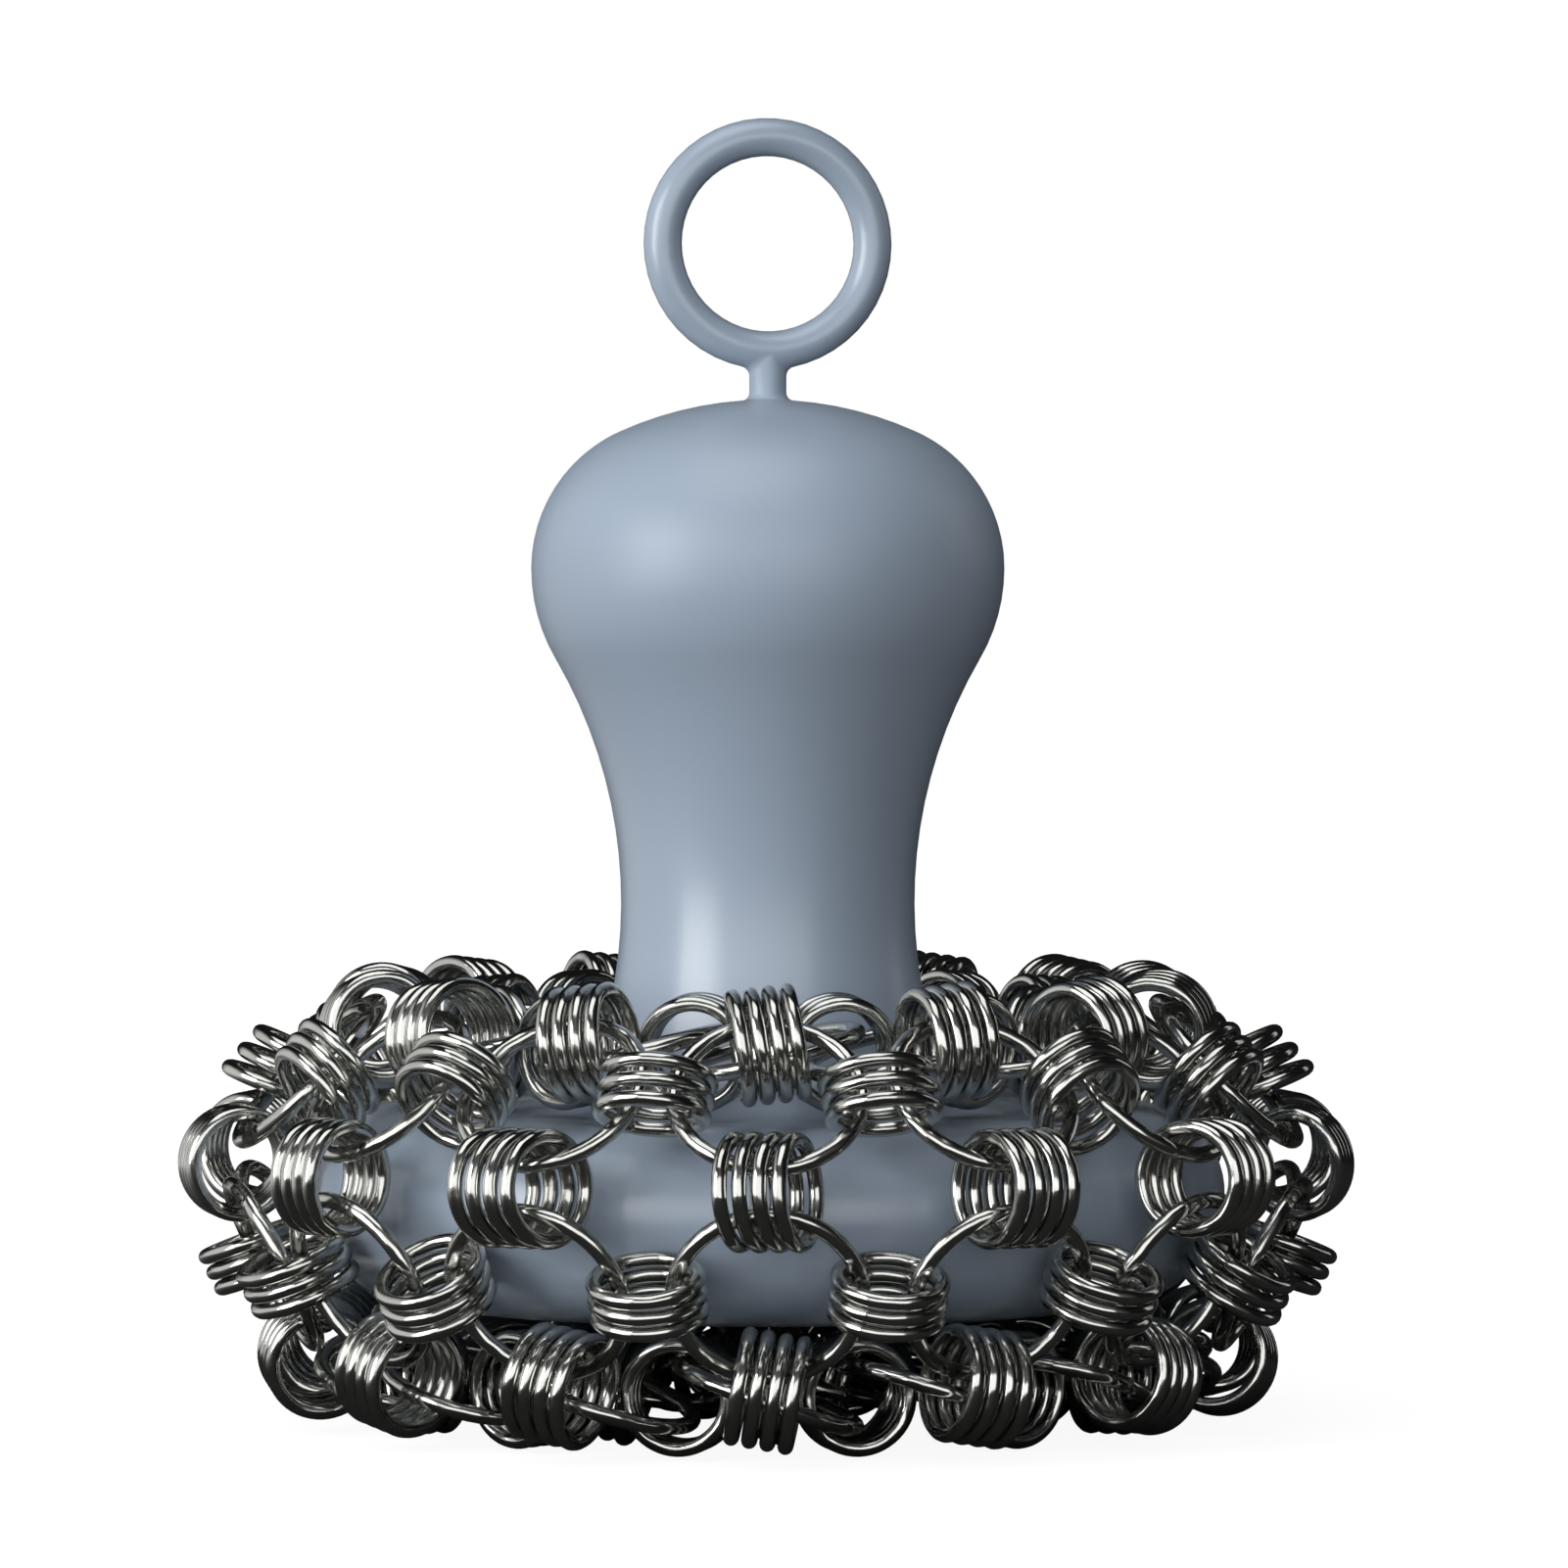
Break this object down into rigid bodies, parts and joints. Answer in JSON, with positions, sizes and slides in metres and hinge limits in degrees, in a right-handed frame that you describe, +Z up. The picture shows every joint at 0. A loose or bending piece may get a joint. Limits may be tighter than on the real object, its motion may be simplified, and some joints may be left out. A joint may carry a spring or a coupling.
{
  "type": "pot scrubber",
  "caption": "Pot scrubber with a moulded grip and hang ring above a round flat base that sits in a loose bag of steel ring mail for scouring pans.",
  "frame": {"origin": "on the handle's axis at the floor the mail rests on", "axes": "+Z up along the handle's axis, +Y through the hang ring, +X across it"},
  "size_m": [0.1026, 0.101, 0.1128],
  "materials": {
    "grip": "satin grey-blue moulding",
    "steel": "dark polished stainless wire"
  },
  "bodies": {
    "handle": {"handle": "grip"},
    "mail": {"centre_link": "steel", "centre_rings": "steel", "inner_links": "steel", "lower_drop_rings": "steel", "shoulder_links": "steel", "side_links": "steel", "top_drop_rings": "steel", "top_links": "steel", "top_side_rings": "steel", "under_drop_rings": "steel", "under_links": "steel", "under_side_rings": "steel"},
    "lower_side_rings_01": {"lower_side_rings_01": "steel"},
    "lower_side_rings_02": {"lower_side_rings_02": "steel"},
    "lower_side_rings_03": {"lower_side_rings_03": "steel"},
    "lower_side_rings_04": {"lower_side_rings_04": "steel"},
    "lower_side_rings_05": {"lower_side_rings_05": "steel"},
    "lower_side_rings_06": {"lower_side_rings_06": "steel"},
    "lower_side_rings_07": {"lower_side_rings_07": "steel"},
    "lower_side_rings_08": {"lower_side_rings_08": "steel"},
    "lower_side_rings_09": {"lower_side_rings_09": "steel"},
    "lower_side_rings_10": {"lower_side_rings_10": "steel"},
    "lower_side_rings_11": {"lower_side_rings_11": "steel"},
    "lower_side_rings_12": {"lower_side_rings_12": "steel"},
    "lower_side_rings_13": {"lower_side_rings_13": "steel"},
    "lower_side_rings_14": {"lower_side_rings_14": "steel"},
    "rim_rings_01": {"rim_rings_01": "steel"},
    "rim_rings_02": {"rim_rings_02": "steel"},
    "rim_rings_03": {"rim_rings_03": "steel"},
    "rim_rings_04": {"rim_rings_04": "steel"},
    "rim_rings_05": {"rim_rings_05": "steel"},
    "rim_rings_06": {"rim_rings_06": "steel"},
    "rim_rings_07": {"rim_rings_07": "steel"},
    "rim_rings_08": {"rim_rings_08": "steel"},
    "rim_rings_09": {"rim_rings_09": "steel"},
    "rim_rings_10": {"rim_rings_10": "steel"},
    "rim_rings_11": {"rim_rings_11": "steel"},
    "rim_rings_12": {"rim_rings_12": "steel"},
    "rim_rings_13": {"rim_rings_13": "steel"},
    "rim_rings_14": {"rim_rings_14": "steel"},
    "shoulder_side_rings_01": {"shoulder_side_rings_01": "steel"},
    "shoulder_side_rings_02": {"shoulder_side_rings_02": "steel"},
    "shoulder_side_rings_03": {"shoulder_side_rings_03": "steel"},
    "shoulder_side_rings_04": {"shoulder_side_rings_04": "steel"},
    "shoulder_side_rings_05": {"shoulder_side_rings_05": "steel"},
    "shoulder_side_rings_06": {"shoulder_side_rings_06": "steel"},
    "shoulder_side_rings_07": {"shoulder_side_rings_07": "steel"},
    "shoulder_side_rings_08": {"shoulder_side_rings_08": "steel"},
    "shoulder_side_rings_09": {"shoulder_side_rings_09": "steel"},
    "shoulder_side_rings_10": {"shoulder_side_rings_10": "steel"},
    "shoulder_side_rings_11": {"shoulder_side_rings_11": "steel"},
    "shoulder_side_rings_12": {"shoulder_side_rings_12": "steel"},
    "shoulder_side_rings_13": {"shoulder_side_rings_13": "steel"},
    "shoulder_side_rings_14": {"shoulder_side_rings_14": "steel"}
  },
  "joints": [
    {"name": "mail_turn", "type": "hinge", "parent": "handle", "child": "mail", "pos_m": [0, 0, 0.02], "axis": [0, 0, 1], "continuous": true},
    {"name": "lower_side_rings_01_swing", "type": "hinge", "parent": "mail", "child": "lower_side_rings_01", "pos_m": [0.00219, -0.04388, 0.01451], "axis": [0.9988, 0.0498, 0], "range_deg": [-10, 5]},
    {"name": "lower_side_rings_02_swing", "type": "hinge", "parent": "mail", "child": "lower_side_rings_02", "pos_m": [0.02101, -0.03859, 0.01451], "axis": [0.8782, 0.4783, 0], "range_deg": [-15, 10]},
    {"name": "lower_side_rings_03_swing", "type": "hinge", "parent": "mail", "child": "lower_side_rings_03", "pos_m": [0.03568, -0.02565, 0.01451], "axis": [0.5837, 0.8119, 0], "range_deg": [-15, 5]},
    {"name": "lower_side_rings_04_swing", "type": "hinge", "parent": "mail", "child": "lower_side_rings_04", "pos_m": [0.04327, -0.00763, 0.01451], "axis": [0.1736, 0.9848, 0], "range_deg": [-10, 5]},
    {"name": "lower_side_rings_05_swing", "type": "hinge", "parent": "mail", "child": "lower_side_rings_05", "pos_m": [0.0423, 0.0119, 0.01451], "axis": [-0.2708, 0.9626, 0], "range_deg": [-15, 10]},
    {"name": "lower_side_rings_06_swing", "type": "hinge", "parent": "mail", "child": "lower_side_rings_06", "pos_m": [0.03295, 0.02907, 0.01451], "axis": [-0.6617, 0.7498, 0], "range_deg": [-15, 5]},
    {"name": "lower_side_rings_07_swing", "type": "hinge", "parent": "mail", "child": "lower_side_rings_07", "pos_m": [0.01707, 0.04049, 0.01451], "axis": [-0.9215, 0.3884, 0], "range_deg": [-10, 5]},
    {"name": "lower_side_rings_08_swing", "type": "hinge", "parent": "mail", "child": "lower_side_rings_08", "pos_m": [-0.00219, 0.04388, 0.01451], "axis": [-0.9988, -0.0498, 0], "range_deg": [-10, 5]},
    {"name": "lower_side_rings_09_swing", "type": "hinge", "parent": "mail", "child": "lower_side_rings_09", "pos_m": [-0.02101, 0.03859, 0.01451], "axis": [-0.8782, -0.4783, 0], "range_deg": [-15, 10]},
    {"name": "lower_side_rings_10_swing", "type": "hinge", "parent": "mail", "child": "lower_side_rings_10", "pos_m": [-0.03568, 0.02565, 0.01451], "axis": [-0.5837, -0.8119, 0], "range_deg": [-15, 5]},
    {"name": "lower_side_rings_11_swing", "type": "hinge", "parent": "mail", "child": "lower_side_rings_11", "pos_m": [-0.04327, 0.00763, 0.01451], "axis": [-0.1736, -0.9848, 0], "range_deg": [-10, 5]},
    {"name": "lower_side_rings_12_swing", "type": "hinge", "parent": "mail", "child": "lower_side_rings_12", "pos_m": [-0.0423, -0.0119, 0.01451], "axis": [0.2708, -0.9626, 0], "range_deg": [-15, 10]},
    {"name": "lower_side_rings_13_swing", "type": "hinge", "parent": "mail", "child": "lower_side_rings_13", "pos_m": [-0.03295, -0.02907, 0.01451], "axis": [0.6617, -0.7498, 0], "range_deg": [-15, 5]},
    {"name": "lower_side_rings_14_swing", "type": "hinge", "parent": "mail", "child": "lower_side_rings_14", "pos_m": [-0.01707, -0.04049, 0.01451], "axis": [0.9215, -0.3884, 0], "range_deg": [-10, 5]},
    {"name": "rim_rings_01_swing", "type": "hinge", "parent": "mail", "child": "rim_rings_01", "pos_m": [-0.00806, -0.04572, 0.02324], "axis": [-0.035, -0.1983, -0.9795], "range_deg": [-25, 0]},
    {"name": "rim_rings_02_swing", "type": "hinge", "parent": "mail", "child": "rim_rings_02", "pos_m": [0.01257, -0.04469, 0.02324], "axis": [0.0545, -0.1938, -0.9795], "range_deg": [-5, 20]},
    {"name": "rim_rings_03_swing", "type": "hinge", "parent": "mail", "child": "rim_rings_03", "pos_m": [0.03072, -0.03481, 0.02324], "axis": [0.1332, -0.1509, -0.9795], "range_deg": [-5, 20]},
    {"name": "rim_rings_04_swing", "type": "hinge", "parent": "mail", "child": "rim_rings_04", "pos_m": [0.04278, -0.01803, 0.02324], "axis": [0.1855, -0.0782, -0.9795], "range_deg": [-25, 0]},
    {"name": "rim_rings_05_swing", "type": "hinge", "parent": "mail", "child": "rim_rings_05", "pos_m": [0.04637, 0.00231, 0.02324], "axis": [0.2011, 0.01, -0.9795], "range_deg": [-5, 20]},
    {"name": "rim_rings_06_swing", "type": "hinge", "parent": "mail", "child": "rim_rings_06", "pos_m": [0.04077, 0.0222, 0.02324], "axis": [0.1768, 0.0963, -0.9795], "range_deg": [-5, 20]},
    {"name": "rim_rings_07_swing", "type": "hinge", "parent": "mail", "child": "rim_rings_07", "pos_m": [0.0271, 0.03769, 0.02324], "axis": [0.1175, 0.1635, -0.9795], "range_deg": [-25, 0]},
    {"name": "rim_rings_08_swing", "type": "hinge", "parent": "mail", "child": "rim_rings_08", "pos_m": [0.00806, 0.04572, 0.02324], "axis": [0.035, 0.1983, -0.9795], "range_deg": [-25, 0]},
    {"name": "rim_rings_09_swing", "type": "hinge", "parent": "mail", "child": "rim_rings_09", "pos_m": [-0.01257, 0.04469, 0.02324], "axis": [-0.0545, 0.1938, -0.9795], "range_deg": [-5, 20]},
    {"name": "rim_rings_10_swing", "type": "hinge", "parent": "mail", "child": "rim_rings_10", "pos_m": [-0.03072, 0.03481, 0.02324], "axis": [-0.1332, 0.1509, -0.9795], "range_deg": [-5, 20]},
    {"name": "rim_rings_11_swing", "type": "hinge", "parent": "mail", "child": "rim_rings_11", "pos_m": [-0.04278, 0.01803, 0.02324], "axis": [-0.1855, 0.0782, -0.9795], "range_deg": [-25, 0]},
    {"name": "rim_rings_12_swing", "type": "hinge", "parent": "mail", "child": "rim_rings_12", "pos_m": [-0.04637, -0.00231, 0.02324], "axis": [-0.2011, -0.01, -0.9795], "range_deg": [-5, 20]},
    {"name": "rim_rings_13_swing", "type": "hinge", "parent": "mail", "child": "rim_rings_13", "pos_m": [-0.04077, -0.0222, 0.02324], "axis": [-0.1768, -0.0963, -0.9795], "range_deg": [-5, 20]},
    {"name": "rim_rings_14_swing", "type": "hinge", "parent": "mail", "child": "rim_rings_14", "pos_m": [-0.0271, -0.03769, 0.02324], "axis": [-0.1175, -0.1635, -0.9795], "range_deg": [-25, 0]},
    {"name": "shoulder_side_rings_01_swing", "type": "hinge", "parent": "mail", "child": "shoulder_side_rings_01", "pos_m": [0.00206, -0.04129, 0.03061], "axis": [0.9988, 0.0498, 0], "range_deg": [-30, 10]},
    {"name": "shoulder_side_rings_02_swing", "type": "hinge", "parent": "mail", "child": "shoulder_side_rings_02", "pos_m": [0.01977, -0.03631, 0.03061], "axis": [0.8782, 0.4783, 0], "range_deg": [-10, 30]},
    {"name": "shoulder_side_rings_03_swing", "type": "hinge", "parent": "mail", "child": "shoulder_side_rings_03", "pos_m": [0.03357, -0.02414, 0.03061], "axis": [0.5837, 0.8119, 0], "range_deg": [-15, 30]},
    {"name": "shoulder_side_rings_04_swing", "type": "hinge", "parent": "mail", "child": "shoulder_side_rings_04", "pos_m": [0.04072, -0.00718, 0.03061], "axis": [0.1736, 0.9848, 0], "range_deg": [-30, 10]},
    {"name": "shoulder_side_rings_05_swing", "type": "hinge", "parent": "mail", "child": "shoulder_side_rings_05", "pos_m": [0.0398, 0.0112, 0.03061], "axis": [-0.2708, 0.9626, 0], "range_deg": [-10, 30]},
    {"name": "shoulder_side_rings_06_swing", "type": "hinge", "parent": "mail", "child": "shoulder_side_rings_06", "pos_m": [0.031, 0.02736, 0.03061], "axis": [-0.6617, 0.7498, 0], "range_deg": [-20, 30]},
    {"name": "shoulder_side_rings_07_swing", "type": "hinge", "parent": "mail", "child": "shoulder_side_rings_07", "pos_m": [0.01606, 0.0381, 0.03061], "axis": [-0.9215, 0.3884, 0], "range_deg": [-30, 10]},
    {"name": "shoulder_side_rings_08_swing", "type": "hinge", "parent": "mail", "child": "shoulder_side_rings_08", "pos_m": [-0.00206, 0.04129, 0.03061], "axis": [-0.9988, -0.0498, 0], "range_deg": [-30, 10]},
    {"name": "shoulder_side_rings_09_swing", "type": "hinge", "parent": "mail", "child": "shoulder_side_rings_09", "pos_m": [-0.01977, 0.03631, 0.03061], "axis": [-0.8782, -0.4783, 0], "range_deg": [-10, 30]},
    {"name": "shoulder_side_rings_10_swing", "type": "hinge", "parent": "mail", "child": "shoulder_side_rings_10", "pos_m": [-0.03357, 0.02414, 0.03061], "axis": [-0.5837, -0.8119, 0], "range_deg": [-15, 30]},
    {"name": "shoulder_side_rings_11_swing", "type": "hinge", "parent": "mail", "child": "shoulder_side_rings_11", "pos_m": [-0.04072, 0.00718, 0.03061], "axis": [-0.1736, -0.9848, 0], "range_deg": [-30, 10]},
    {"name": "shoulder_side_rings_12_swing", "type": "hinge", "parent": "mail", "child": "shoulder_side_rings_12", "pos_m": [-0.0398, -0.0112, 0.03061], "axis": [0.2708, -0.9626, 0], "range_deg": [-10, 30]},
    {"name": "shoulder_side_rings_13_swing", "type": "hinge", "parent": "mail", "child": "shoulder_side_rings_13", "pos_m": [-0.031, -0.02736, 0.03061], "axis": [0.6617, -0.7498, 0], "range_deg": [-20, 30]},
    {"name": "shoulder_side_rings_14_swing", "type": "hinge", "parent": "mail", "child": "shoulder_side_rings_14", "pos_m": [-0.01606, -0.0381, 0.03061], "axis": [0.9215, -0.3884, 0], "range_deg": [-30, 10]}
  ]
}
